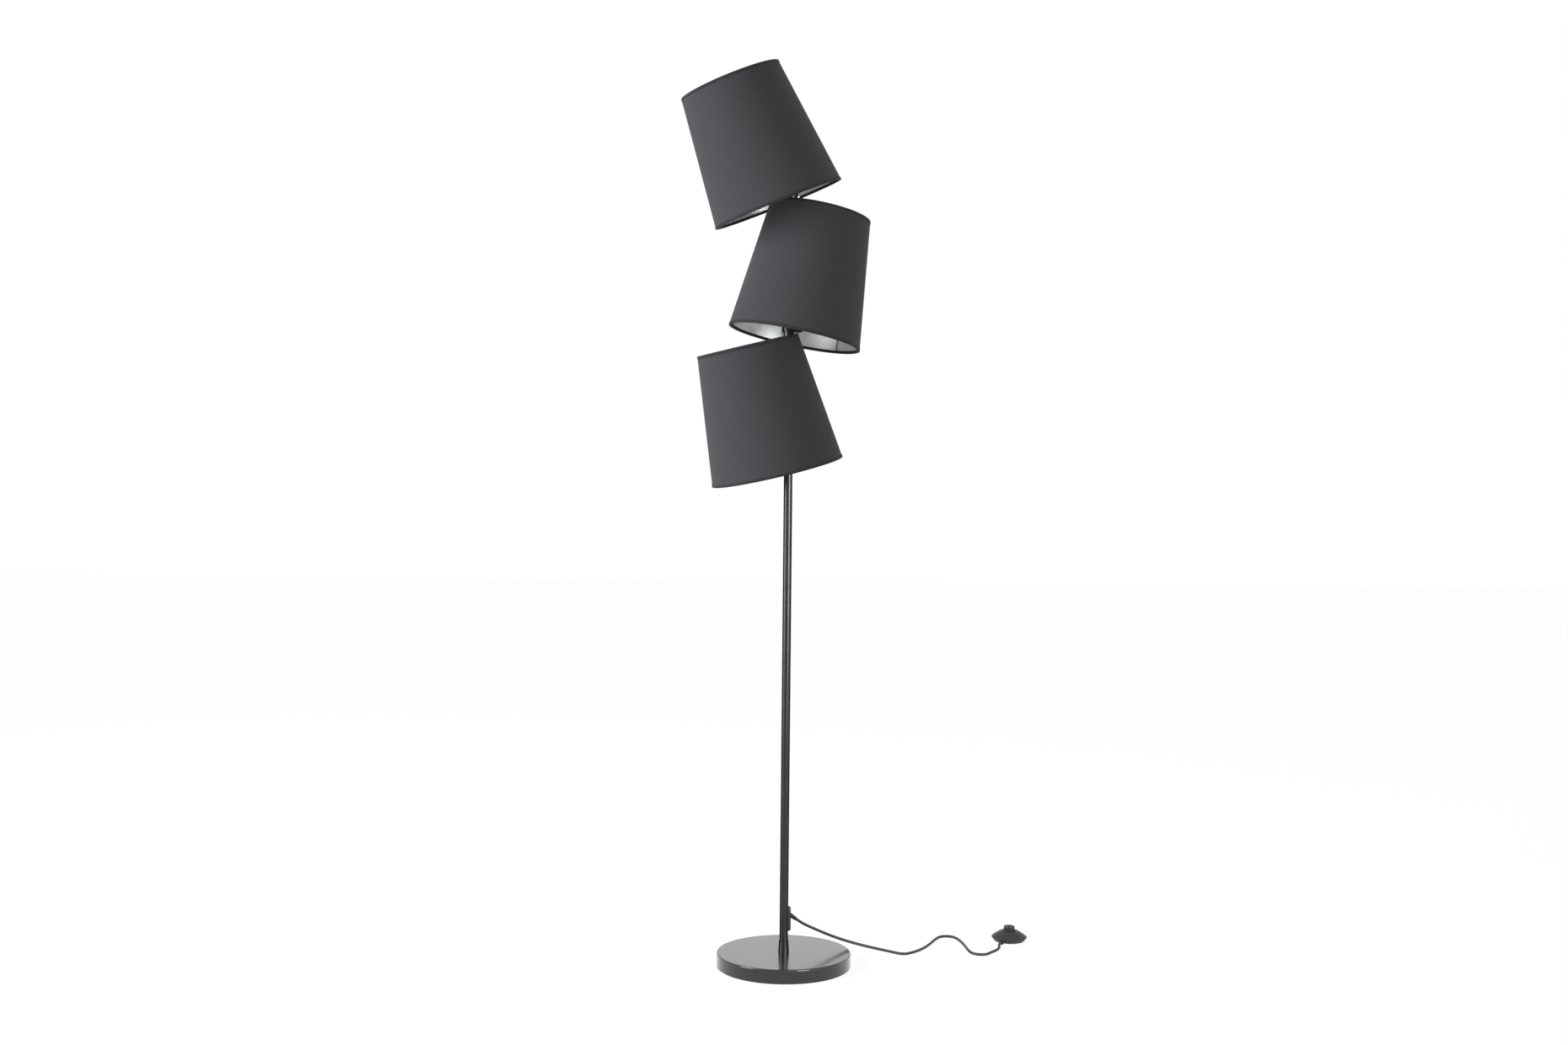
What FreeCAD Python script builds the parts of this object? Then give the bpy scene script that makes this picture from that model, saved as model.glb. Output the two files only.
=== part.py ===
import FreeCAD, Part
import math
import os
from FreeCAD import Placement, Rotation, Vector

# Floor lamp with three tilted drum shades stacked up one pole, in millimetres.
# The origin is the middle of the base's underside, +Z is up, +X is the side the cord leaves from.
# Each light has its own frame: its bottom rim's centre, z up the shade's axis, x to where it leans.

# ---- base -------------------------------------------------------------------------------------
base_radius = 125.0
base_height = 26.5
base_edge_round = 2.5
cover_wall = 1.5
cover_floor_gap = 1.5
pad_thickness = 3.0
pad_inset = 2.5
weight_clearance = 0.4
nut_recess_radius = 22.0
nut_recess_depth = 11.0
washer_radius = 16.0
washer_thickness = 2.0
nut_across_flats = 17.0
nut_height = 8.0
stud_radius = 5.0
stud_bore = 3.5
stud_bottom = 3.5
thread_clearance = 0.1
stud_hole_clearance = 0.3

# ---- pole -------------------------------------------------------------------------------------
pole_radius = 8.0
pole_wall = 1.2
pole_joint_height = 779.0
foot_height = 20.0
foot_plate = 10.0
foot_bottom_radius = 10.0
foot_top_radius = 8.9
socket_clearance = 0.1
coupler_length = 80.0
coupler_bore = 4.1
cap_thickness = 2.5
cap_plug_length = 10.0
lead_radius = 1.1
lead_spacing = 2.5
lead_offset = 2.4

# ---- cord and its way out of the pole ----------------------------------------------------------
cord_radius = 2.6
cord_azimuth = 19.5
cord_exit_height = 96.0
guide_bottom = 65.0
guide_top = 110.5
guide_width = 10.0
guide_reach = 12.3
guide_tail_radius = 3.1
guide_hole_clearance = 0.2
sleeve_length = 16.0
sleeve_slope = 36.0
sleeve_lead_out = 14.0
sleeve_root_radius = 4.2
sleeve_tip_radius = 3.1

# The cord's route after the sleeve's tip: down to the floor, then two loose bends on it.
cord_floor = cord_radius + 0.1
cord_points = [
    (55.0, 19.5, 66.0),
    (90.6, 32.1, 48.3),
    (125.8, 44.6, 33.9),
    (161.5, 57.2, 21.9),
    (198.3, 70.2, 11.0),
    (228.5, 76.7, cord_floor),
    (249.8, 93.9, cord_floor),
    (269.7, 120.4, cord_floor),
    (285.3, 153.5, cord_floor),
    (299.0, 190.5, cord_floor),
    (309.7, 211.8, cord_floor),
    (323.1, 217.6, cord_floor),
    (336.5, 212.6, cord_floor),
    (344.7, 195.5, cord_floor),
    (350.7, 164.3, cord_floor),
    (354.2, 135.8, cord_floor),
    (357.0, 104.4, cord_floor),
    (363.6, 87.0, cord_floor),
    (376.7, 80.6, cord_floor),
    (390.2, 84.9, cord_floor),
    (398.5, 98.6, cord_floor),
    (411.0, 113.5, cord_floor),
    (419.4, 132.6, cord_floor),
]
arc_share = 0.45

# ---- foot switch -------------------------------------------------------------------------------
switch_x = 446.3
switch_y = 198.3
switch_radius = 35.0
switch_wall = 2.0
switch_foot_radius = 29.5
switch_skirt_bottom = 0.8
switch_shoulder = 8.0
switch_waist_radius = 30.0
switch_waist_height = 12.0
switch_crown_radius = 17.0
switch_crown_height = 20.0
switch_neck_height = 21.3
switch_plate_height = 2.5
switch_plate_clearance = 0.4
gland_heading = 62.0
gland_radius = 5.0
gland_reach = 43.0
gland_height = 6.0
gland_lead_in = 14.0
outlet_radius = 2.7
outlet_depth = 9.0
button_radius = 11.0
button_top = 29.0
button_flange_radius = 13.0
button_flange_thickness = 2.0
button_travel = 4.0
button_clearance = 0.4
button_edge = 1.5
button_cavity_radius = 8.5
button_roof = 4.0
contact_plate_radius = 14.0
contact_plate_top = 6.0
contact_post_radius = 4.0
contact_post_top = 14.0
spring_radius = 6.2
spring_wire = 0.6
spring_turns = 6
screw_circle_radius = 21.0
screw_radius = 1.4
screw_head_radius = 2.8
screw_head_height = 1.4
screw_length = 7.0
screw_boss_radius = 3.2
screw_count = 3
screw_first_angle = 2.0

# ---- shades ------------------------------------------------------------------------------------
shade_bottom_radius = 125.0
shade_top_radius = 96.0
shade_height = 242.0
hem_thickness = 0.5
hem_height = 5.0
fabric_thickness = 0.9
liner_thickness = 0.6
layer_gap = 0.25
hoop_wire_radius = 1.0
hoop_gap = 0.3

# ---- lampholder, measured up the shade's axis from the tilt pivot ---------------------------------
tongue_thickness = 6.0
tongue_radius = 7.5
tongue_width = 13.0
seat_start = 18.0
seat_thickness = 3.0
boss_radius = 5.0
boss_length = 6.0
cup_radius = 14.0
cup_wall = 1.5
cup_length = 34.0
core_lower_length = 24.0
core_clearance = 0.2
flange_radius = 16.0
flange_thickness = 2.0
thread_radius = 13.8
thread_length = 18.0
lamp_bore = 7.0
lamp_bore_length = 22.0
sleeve_wall = 0.8
sleeve_gap = 0.1
contact_well_radius = 4.0
contact_well_depth = 6.0
contact_disc_radius = 3.0
contact_disc_thickness = 1.0
ring_fit = 0.3
carrier_ring_radius = 19.5
carrier_ring_thickness = 2.6
carrier_wire_radius = 1.25
carrier_bend = 7.0
carrier_arm_count = 3
fixing_ring_radius = 18.5
fixing_ring_height = 6.5
fixing_ring_gap = 0.2
fixing_ring_grips = 16
grip_radius = 0.9

# ---- collar on the pole, with the tilt knuckle beside it --------------------------------------------
collar_radius = 14.0
collar_half_height = 11.0
collar_running_fit = 0.06
skirt_radius = 12.0
skirt_height = 10.0
clamp_screw_radius = 2.5
clamp_head_radius = 5.0
clamp_head_thickness = 3.0
set_screw_radius = 1.9
set_screw_head_radius = 3.0
set_screw_head_thickness = 2.2
set_screw_spread = 21.0
set_screw_drop = 3.0
screw_hole_clearance = 0.1
screw_tip_gap = 0.3
knuckle_radius = 9.0
ear_thickness = 4.0
tongue_gap = 0.3
slot_floor = 8.0
web_width = 13.0
web_top = 5.0
pivot_radius = 2.5
pivot_running_fit = 0.06
pivot_blind_depth = 8.0
knob_radius = 8.0
knob_thickness = 8.0
knob_gap = 0.3
knob_flutes = 8
knob_flute_radius = 1.6

# ---- where each light stands --------------------------------------------------------------------
# The way it leans and how far, the middle of its bottom rim outwards from the pole in the plane of
# its lean, how far its axis stands beside the pole, and how far above the rim its tilt pivot sits.
lower_azimuth = 201.9
lower_tilt = 14.8
lower_out = 13.4
lower_side = -20.5
lower_pivot_rise = 23.0
lower_rim_height = 920.4

middle_azimuth = 12.9
middle_tilt = 11.4
middle_out = 13.8
middle_side = 20.5
middle_pivot_rise = 23.0
middle_stack_gap = 7.4
middle_rim_height = lower_rim_height + shade_height + middle_stack_gap

upper_azimuth = 196.1
upper_tilt = 23.1
upper_out = 23.5
upper_side = 0.0
upper_pivot_rise = 35.0
upper_stack_gap = 1.5
upper_rim_height = middle_rim_height + shade_height + upper_stack_gap

lights = {
    "lower": {"azimuth": lower_azimuth, "tilt": lower_tilt, "out": lower_out, "side": lower_side,
              "pivot": lower_pivot_rise, "up": lower_rim_height},
    "middle": {"azimuth": middle_azimuth, "tilt": middle_tilt, "out": middle_out, "side": middle_side,
               "pivot": middle_pivot_rise, "up": middle_rim_height},
    "upper": {"azimuth": upper_azimuth, "tilt": upper_tilt, "out": upper_out, "side": upper_side,
              "pivot": upper_pivot_rise, "up": upper_rim_height},
}

# The pole ends a little above the upper light's tilt pivot.
pole_end_rise = 14.5
pole_top = upper_rim_height + upper_pivot_rise * math.cos(math.radians(upper_tilt)) + pole_end_rise
lead_top = pole_top - 20.0

up = Vector(0, 0, 1)
hair = 0.01


# ---- shape helpers -----------------------------------------------------------------------------
def disc(radius, bottom, top):
    return Part.makeCylinder(radius, top - bottom, Vector(0, 0, bottom), up)


def sleeve(outer, inner, bottom, top):
    return disc(outer, bottom, top).cut(disc(inner, bottom - hair, top + hair))


def rod(radius, start, end):
    return Part.makeCylinder(radius, (end - start).Length, start, end - start)


def block(x0, x1, y0, y1, z0, z1):
    return Part.makeBox(x1 - x0, y1 - y0, z1 - z0, Vector(x0, y0, z0))


def lathe(outline):
    points = [Vector(r, 0, z) for r, z in outline]
    face = Part.Face(Part.makePolygon(points + [points[0]]))
    return face.revolve(Vector(0, 0, 0), up, 360)


def turned(shape, angle):
    copy = shape.copy()
    copy.rotate(Vector(0, 0, 0), up, angle)
    return copy


def moved(shape, placement):
    copy = shape.copy()
    copy.Placement = placement.multiply(copy.Placement)
    return copy


def polar(radius, angle, height=0.0):
    turn = math.radians(angle)
    return Vector(radius * math.cos(turn), radius * math.sin(turn), height)


def rounded_path(points, report=None):
    """Straight runs joined by tangent arcs, each as large as its two runs allow."""
    edges = []
    start = points[0]
    for before, corner, after in zip(points, points[1:], points[2:]):
        into = (corner - before).normalize()
        out = (after - corner).normalize()
        half_turn = into.getAngle(out) / 2
        reach = arc_share * min((corner - before).Length, (after - corner).Length)
        arc_start = corner - into * reach
        arc_end = corner + out * reach
        radius = reach / math.tan(half_turn)
        inward = (out - into).normalize()
        arc_middle = corner + inward * (radius / math.cos(half_turn) - radius)
        edges.append(Part.makeLine(start, arc_start))
        edges.append(Part.Arc(arc_start, arc_middle, arc_end).toShape())
        start = arc_end
        if report is not None:
            report.append(radius)
    edges.append(Part.makeLine(start, points[-1]))
    return Part.Wire(edges)


def tube(points, radius, report=None):
    path = rounded_path(points, report)
    section = Part.Wire(Part.makeCircle(radius, points[0], points[1] - points[0]))
    solid = path.makePipeShell([section], True, False)
    return solid, path.Length


nodes = {}


def keep(name, *shapes):
    nodes[name] = shapes[0] if len(shapes) == 1 else Part.makeCompound(list(shapes))


# ---- base --------------------------------------------------------------------------------------
def base_cover():
    wall = base_radius - cover_wall
    ceiling = base_height - cover_wall
    outer = disc(base_radius, cover_floor_gap, base_height)
    top_edge = [e for e in outer.Edges if abs(e.CenterOfMass.z - base_height) < hair]
    outer = outer.makeFillet(base_edge_round, top_edge[:1])
    hollow = disc(wall, 0, ceiling)
    hole = disc(stud_radius + stud_hole_clearance, 0, base_height + 1)
    return outer.cut(hollow).cut(hole)


def base_weight():
    radius = base_radius - cover_wall - weight_clearance
    body = disc(radius, pad_thickness, base_height - cover_wall)
    # The weight's upper edge follows the rounding inside the cover.
    top_edge = [e for e in body.Edges if abs(e.CenterOfMass.z - base_height + cover_wall) < hair]
    body = body.makeChamfer(base_edge_round, top_edge[:1])
    recess = disc(nut_recess_radius, 0, pad_thickness + nut_recess_depth)
    bore = disc(stud_radius + stud_hole_clearance, 0, base_height)
    return body.cut(recess).cut(bore)


def base_nut(top):
    corner = nut_across_flats / math.cos(math.radians(30)) / 2
    corners = [polar(corner, 60 * k, top - nut_height) for k in range(6)]
    face = Part.Face(Part.makePolygon(corners + [corners[0]]))
    return face.extrude(up * nut_height).cut(disc(stud_radius + thread_clearance, 0, base_height))


recess_roof = pad_thickness + nut_recess_depth
washer_bottom = recess_roof - washer_thickness
foot_top = base_height + foot_height
pole_bottom = base_height + foot_plate

keep("base_cover", base_cover())
keep("base_weight", base_weight())
keep("base_pad", disc(base_radius - pad_inset, 0, pad_thickness))
keep("base_washer", sleeve(washer_radius, stud_radius + stud_hole_clearance, washer_bottom, recess_roof))
keep("base_nut", base_nut(washer_bottom))
keep("base_stud", sleeve(stud_radius, stud_bore, stud_bottom, pole_bottom - 0.5))

# ---- pole --------------------------------------------------------------------------------------
pole_inside = pole_radius - pole_wall
cord_way = polar(1, cord_azimuth)


def pole_foot():
    outer = Part.makeCone(foot_bottom_radius, foot_top_radius, foot_height, Vector(0, 0, base_height), up)
    socket = disc(pole_radius + socket_clearance, pole_bottom, foot_top + 1)
    return outer.cut(socket).cut(disc(stud_radius + thread_clearance, 0, foot_top))


def guide_hole():
    exit_point = up * cord_exit_height
    return rod(guide_tail_radius + guide_hole_clearance, exit_point, exit_point + cord_way * 2 * pole_radius)


lower_tube = sleeve(pole_radius, pole_inside, pole_bottom, pole_joint_height)
upper_tube = sleeve(pole_radius, pole_inside, pole_joint_height, pole_top)
coupler_radius = pole_inside - socket_clearance
cap = disc(pole_radius, pole_top, pole_top + cap_thickness)
cap = cap.makeFillet(cap_thickness / 2, [e for e in cap.Edges if e.CenterOfMass.z > pole_top + 2][:1])
cap = cap.fuse(disc(coupler_radius, pole_top - cap_plug_length, pole_top + hair))
lead = disc(lead_radius, cord_exit_height + guide_tail_radius, lead_top)

keep("pole_foot", pole_foot())
keep("pole_lower", lower_tube.cut(guide_hole()))
keep("pole_upper", upper_tube)
keep("pole_coupler", sleeve(coupler_radius, coupler_bore,
                            pole_joint_height - coupler_length / 2, pole_joint_height + coupler_length / 2))
keep("pole_cap", cap)
keep("inner_leads", *[moved(lead, Placement(Vector(x, -lead_offset, 0), Rotation()))
                      for x in (-lead_spacing / 2, lead_spacing / 2)])


# ---- cord guide on the pole, and the cord ---------------------------------------------------------
def sleeve_direction():
    slope = math.radians(sleeve_slope)
    return cord_way * math.cos(slope) - up * math.sin(slope)


def cord_guide():
    half = guide_width / 2
    plate = block(0, guide_reach, -half, half, guide_bottom + half, guide_top - half)
    for height in (guide_bottom + half, guide_top - half):
        plate = plate.fuse(rod(half, Vector(0, 0, height), Vector(guide_reach, 0, height)))
    plate = plate.removeSplitter()
    rim = [e for e in plate.Edges if abs(e.BoundBox.XMin - guide_reach) < hair and e.BoundBox.XLength < hair]
    plate = plate.makeFillet(base_edge_round / 2, rim)
    plate = plate.cut(disc(pole_radius + socket_clearance, guide_bottom - 1, guide_top + 1))
    plate = turned(plate, cord_azimuth)
    middle = up * cord_exit_height
    tail_start = middle + cord_way * (pole_inside - 2)
    tail = rod(guide_tail_radius, tail_start, middle + cord_way * (pole_radius + 1))
    root = middle + cord_way * (guide_reach - 2)
    cone = Part.makeCone(sleeve_root_radius, sleeve_tip_radius, sleeve_length + 2, root, sleeve_direction())
    return plate.fuse(tail).fuse(cone).removeSplitter()


sleeve_tip = up * cord_exit_height + cord_way * (guide_reach - 2) + sleeve_direction() * (sleeve_length + 2)
heading = polar(1, gland_heading)
switch_centre = Vector(switch_x, switch_y, 0)
gland_mouth = switch_centre - heading * gland_reach + up * gland_height
route = [sleeve_tip, sleeve_tip + sleeve_direction() * sleeve_lead_out]
route += [Vector(*point) for point in cord_points]
route += [gland_mouth - heading * gland_lead_in, gland_mouth]

bend_radii = []
cord_solid, cord_length = tube(route, cord_radius, bend_radii)
keep("cord_guide", cord_guide())
keep("cord", cord_solid)
print("cord length", round(cord_length, 1), "volume", round(cord_solid.Volume),
      "section times length", round(math.pi * cord_radius ** 2 * cord_length))
print("bend radii", [round(radius, 1) for radius in bend_radii])
print("runs", [round((b - a).Length, 1) for a, b in zip(route, route[1:])])


# ---- foot switch ---------------------------------------------------------------------------------
def dome(inset, bottom, drop):
    """A solid under the cover's curve, inset at the sides and drop lower on top."""
    foot = Vector(switch_foot_radius - inset, 0, bottom)
    start = Vector(switch_radius - inset, 0, switch_shoulder)
    middle = Vector(switch_waist_radius - inset, 0, switch_waist_height - drop)
    end = Vector(switch_crown_radius, 0, switch_crown_height - drop)
    edges = [
        Part.makeLine(Vector(0, 0, bottom), foot),
        Part.makeLine(foot, start),
        Part.Arc(start, middle, end).toShape(),
        Part.makeLine(end, Vector(0, 0, end.z)),
        Part.makeLine(Vector(0, 0, end.z), Vector(0, 0, bottom)),
    ]
    return Part.Face(Part.Wire(edges)).revolve(Vector(0, 0, 0), up, 360)


def screw_places():
    return [polar(screw_circle_radius, screw_first_angle + 360 / screw_count * k) for k in range(screw_count)]


def switch_cover():
    outside = dome(0, switch_skirt_bottom, 0)
    neck = disc(button_radius + button_clearance + switch_wall, switch_waist_height, switch_neck_height)
    way = polar(1, gland_heading)
    glands = rod(gland_radius, up * gland_height - way * gland_reach, up * gland_height + way * gland_reach)
    inside = dome(switch_wall, 0, switch_wall)
    bosses = [Part.makeCylinder(screw_boss_radius, switch_crown_height, place + up * switch_plate_height)
              for place in screw_places()]
    cover = outside.fuse(neck).fuse(glands).cut(inside)
    for boss in bosses:
        cover = cover.fuse(boss.common(outside))
    for place in screw_places():
        cover = cover.cut(Part.makeCylinder(screw_radius + screw_hole_clearance, screw_length, place))
    cover = cover.cut(disc(button_radius + button_clearance, switch_plate_height, switch_neck_height + 1))
    mouth = up * gland_height + way * gland_reach
    cover = cover.cut(rod(outlet_radius, mouth - way * outlet_depth, mouth + way))
    return cover.removeSplitter()


def switch_plate():
    plate = disc(switch_foot_radius - switch_wall - switch_plate_clearance, 0, switch_plate_height)
    for place in screw_places():
        plate = plate.cut(Part.makeCylinder(screw_head_radius + screw_hole_clearance,
                                            screw_head_height + hair, place - up * hair))
        hole_radius = screw_radius + screw_hole_clearance
        plate = plate.cut(Part.makeCylinder(hole_radius, switch_plate_height * 2, place))
    return plate


def switch_screw(place):
    head = Part.makeCylinder(screw_head_radius, screw_head_height - 0.3, place + up * 0.3)
    shank = Part.makeCylinder(screw_radius, screw_length - 1, place + up * 0.3)
    return head.fuse(shank).removeSplitter()


flange_top = switch_crown_height - switch_wall - button_clearance
flange_bottom = flange_top - button_flange_thickness
cavity_roof = button_top - button_roof


def switch_button():
    cap = disc(button_radius, flange_bottom, button_top)
    rim = [e for e in cap.Edges if abs(e.CenterOfMass.z - button_top) < hair]
    cap = cap.makeFillet(button_edge, rim[:1])
    flange = disc(button_flange_radius, flange_bottom, flange_top)
    return cap.fuse(flange).cut(disc(button_cavity_radius, 0, cavity_roof)).removeSplitter()


def switch_spring():
    """A helix of quarter turns, each an arc through three points of it."""
    bottom = contact_plate_top + spring_wire + 0.1
    rise = cavity_roof - 2 * spring_wire - 0.2 - contact_plate_top
    quarters = spring_turns * 4

    def point(step):
        return polar(spring_radius, 90 * step, bottom + rise * step / quarters)

    arcs = [Part.Arc(point(k), point(k + 0.5), point(k + 1)).toShape() for k in range(quarters)]
    path = Part.Wire(arcs)
    start_way = point(0.01) - point(0)
    section = Part.Wire(Part.makeCircle(spring_wire, point(0), start_way))
    return path.makePipeShell([section], True, False)


contact_block = disc(contact_plate_radius, switch_plate_height, contact_plate_top)
contact_block = contact_block.fuse(disc(contact_post_radius, contact_plate_top - hair, contact_post_top))
at_switch = Placement(switch_centre, Rotation())
switch_pieces = {
    "switch_cover": [switch_cover()],
    "switch_plate": [switch_plate()],
    "switch_button": [switch_button()],
    "switch_spring": [switch_spring()],
    "switch_contacts": [contact_block.removeSplitter()],
    "switch_screws": [switch_screw(place) for place in screw_places()],
}
for name, shapes in switch_pieces.items():
    keep(name, *[moved(shape, at_switch) for shape in shapes])


# ---- shade pieces, in the light's frame --------------------------------------------------------------
slope = (shade_bottom_radius - shade_top_radius) / shade_height


def shade_radius(height):
    return shade_bottom_radius - slope * height


def cone_wall(outer_inset, inner_inset, bottom, top):
    """A wall of the drum between two insets from its outline."""
    return lathe([
        (shade_radius(bottom) - inner_inset, bottom),
        (shade_radius(bottom) - outer_inset, bottom),
        (shade_radius(top) - outer_inset, top),
        (shade_radius(top) - inner_inset, top),
    ])


fabric_outside = hem_thickness + 0.1
fabric_inside = fabric_outside + fabric_thickness
liner_outside = fabric_inside + layer_gap
liner_inside = liner_outside + liner_thickness
hoop_inset = liner_inside + hoop_gap + hoop_wire_radius
hem_inside = hoop_inset + hoop_wire_radius + hoop_gap
rim_gap = hem_thickness + 0.2
hoop_rise = rim_gap + hoop_wire_radius


def hem(bottom):
    """A band folded round the rim: outside, over the edge and back up the inside."""
    edge = 0 if bottom else shade_height
    side = 1 if bottom else -1
    lip = edge + side * hem_height
    fold = edge + side * hem_thickness
    return lathe([
        (shade_radius(edge), edge),
        (shade_radius(lip), lip),
        (shade_radius(lip) - hem_thickness, lip),
        (shade_radius(fold) - hem_thickness, fold),
        (shade_radius(fold) - hem_inside, fold),
        (shade_radius(lip) - hem_inside, lip),
        (shade_radius(lip) - hem_inside - hem_thickness, lip),
        (shade_radius(edge) - hem_inside - hem_thickness, edge),
    ])


def hoop(height):
    ring = Part.makeTorus(shade_radius(height) - hoop_inset, hoop_wire_radius)
    return moved(ring, Placement(Vector(0, 0, height), Rotation()))


cup_start = seat_start + seat_thickness
flange_start = cup_start + cup_length
carrier_start = flange_start + flange_thickness
core_top = carrier_start + thread_length
fixing_start = carrier_start + carrier_ring_thickness + fixing_ring_gap
bore_floor = core_top - lamp_bore_length - 1.0


def holder_arm():
    """The tongue that turns on the pivot, and the seat that the lampholder's cup screws to."""
    half = tongue_thickness / 2
    tongue = rod(tongue_radius, Vector(0, -half, 0), Vector(0, half, 0))
    neck = block(-tongue_width / 2, tongue_width / 2, -half, half, 0, seat_start + hair)
    seat = disc(cup_radius, seat_start, cup_start)
    boss = disc(boss_radius, cup_start - hair, cup_start + boss_length)
    hole = rod(pivot_radius + pivot_running_fit, Vector(0, -half - 1, 0), Vector(0, half + 1, 0))
    wire_way = disc(stud_bore, seat_start + 1, cup_start + boss_length + 1)
    return tongue.fuse([neck, seat, boss]).cut(hole).cut(wire_way).removeSplitter()


def holder_cup():
    shell = disc(cup_radius, cup_start, flange_start)
    hollow = disc(cup_radius - cup_wall, cup_start + cup_wall, flange_start + 1)
    return shell.cut(hollow).cut(disc(boss_radius + thread_clearance, 0, flange_start))


def holder_core():
    lower_radius = cup_radius - cup_wall - core_clearance
    lower = disc(lower_radius, flange_start - core_lower_length, flange_start + hair)
    flange = disc(flange_radius, flange_start, carrier_start)
    upper = disc(thread_radius, carrier_start - hair, core_top)
    well = disc(contact_well_radius, bore_floor - contact_well_depth, core_top)
    bore = disc(lamp_bore + sleeve_wall + sleeve_gap, bore_floor, core_top + 1)
    return lower.fuse([flange, upper]).cut(well).cut(bore).removeSplitter()


def lamp_contacts():
    shell_start = bore_floor + 0.2
    screw_shell = sleeve(lamp_bore + sleeve_wall, lamp_bore, shell_start, shell_start + lamp_bore_length)
    stem = disc(contact_disc_thickness, bore_floor - contact_well_depth, bore_floor)
    tip = disc(contact_disc_radius, bore_floor - contact_disc_thickness, bore_floor)
    return [screw_shell, stem.fuse(tip).removeSplitter()]


def carrier_arm(angle, level, rim_level):
    wire_inset = liner_inside + hoop_gap + carrier_wire_radius
    points = [
        polar(thread_radius + ring_fit + 2 * carrier_wire_radius, angle, level),
        polar(shade_radius(level - rim_level) - wire_inset, angle, level),
        polar(shade_radius(hem_height + 0.6) - wire_inset, angle, rim_level + hem_height + 0.6),
    ]
    into = (points[1] - points[0]).normalize()
    out = (points[2] - points[1]).normalize()
    reach = carrier_bend * math.tan(into.getAngle(out) / 2)
    bend_start = points[1] - into * reach
    bend_end = points[1] + out * reach
    bisector = (out - into).normalize()
    bend_middle = points[1] + bisector * (carrier_bend / math.cos(into.getAngle(out) / 2) - carrier_bend)
    path = Part.Wire([
        Part.makeLine(points[0], bend_start),
        Part.Arc(bend_start, bend_middle, bend_end).toShape(),
        Part.makeLine(bend_end, points[2]),
    ])
    section = Part.Wire(Part.makeCircle(carrier_wire_radius, points[0], into))
    return path.makePipeShell([section], True, False)


def carrier(pole_angle, rim_level):
    """Flat ring on the lampholder, with wire arms out to the wall and down to the bottom hoop."""
    ring_top = carrier_start + carrier_ring_thickness
    ring = sleeve(carrier_ring_radius, thread_radius + ring_fit, carrier_start, ring_top)
    step = 360 / carrier_arm_count
    level = carrier_start + carrier_ring_thickness / 2
    # The pole passes midway between two arms. Each is welded to the ring's outer edge.
    arms = [carrier_arm(pole_angle + step * (k + 0.5), level, rim_level) for k in range(carrier_arm_count)]
    return [ring] + [arm.cut(ring) for arm in arms]


def fixing_ring():
    fixing_top = fixing_start + fixing_ring_height
    ring = sleeve(fixing_ring_radius, thread_radius + core_clearance, fixing_start, fixing_top)
    for k in range(fixing_ring_grips):
        place = polar(fixing_ring_radius, 360 / fixing_ring_grips * k, fixing_start - 1)
        ring = ring.cut(Part.makeCylinder(grip_radius, fixing_ring_height + 2, place))
    return ring


# ---- collar pieces, in a level frame at the pivot's height on the pole ---------------------------------
def side_sign(light):
    return -1 if light["side"] < 0 else 1


def pivot_out(light):
    return light["out"] + light["pivot"] * math.sin(math.radians(light["tilt"]))


def pivot_height(light):
    return light["up"] + light["pivot"] * math.cos(math.radians(light["tilt"]))


def ear_span(light, inner, outer):
    """Two heights along y, from the tongue's middle towards the knob's side."""
    sign = side_sign(light)
    ends = sorted([light["side"] + sign * inner, light["side"] + sign * outer])
    return ends


def across(light, radius, inner, outer):
    low, high = ear_span(light, inner, outer)
    out = pivot_out(light)
    return rod(radius, Vector(out, low, 0), Vector(out, high, 0))


def set_screw_angles(light):
    return [-90 * side_sign(light) + turn for turn in (-set_screw_spread, set_screw_spread)]


def collar(light):
    out = pivot_out(light)
    slot_half = tongue_thickness / 2 + tongue_gap
    ear_end = slot_half + ear_thickness
    body = disc(collar_radius, -collar_half_height, collar_half_height)
    skirt_bottom = -collar_half_height - skirt_height
    skirt = disc(skirt_radius, skirt_bottom, -collar_half_height + hair)
    skirt = skirt.common(block(-skirt_radius, 0, -skirt_radius, skirt_radius, skirt_bottom, 0))
    low, high = ear_span(light, -ear_end, ear_end)
    cheeks = across(light, knuckle_radius, -ear_end, ear_end)
    cheek_foot = block(out - knuckle_radius, out + knuckle_radius, low, high, -collar_half_height, 0)
    span = math.hypot(out, light["side"])
    web = block(0, span, -web_width / 2, web_width / 2, -collar_half_height, web_top)
    web = turned(web, math.degrees(math.atan2(light["side"], out)))
    slot_low, slot_high = ear_span(light, -slot_half, slot_half)
    slot_end = out + knuckle_radius + 1
    slot = block(out - slot_floor, slot_end, slot_low, slot_high, -slot_floor, 2 * knuckle_radius)
    piece = body.fuse([skirt, cheeks, cheek_foot, web]).cut(slot)
    piece = piece.cut(disc(pole_radius + collar_running_fit, skirt_bottom - 1, collar_half_height + 1))
    hole_radius = pivot_radius + screw_hole_clearance
    piece = piece.cut(across(light, hole_radius, -slot_half - pivot_blind_depth, ear_end + 1))
    clamp_level = -collar_half_height - skirt_height / 2
    piece = piece.cut(rod(clamp_screw_radius + screw_hole_clearance,
                          Vector(0, 0, clamp_level), Vector(-skirt_radius - 1, 0, clamp_level)))
    for angle in set_screw_angles(light):
        mouth = polar(collar_radius + 1, angle, -set_screw_drop)
        piece = piece.cut(rod(set_screw_radius + screw_hole_clearance, up * -set_screw_drop, mouth))
    return piece.removeSplitter()


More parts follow.
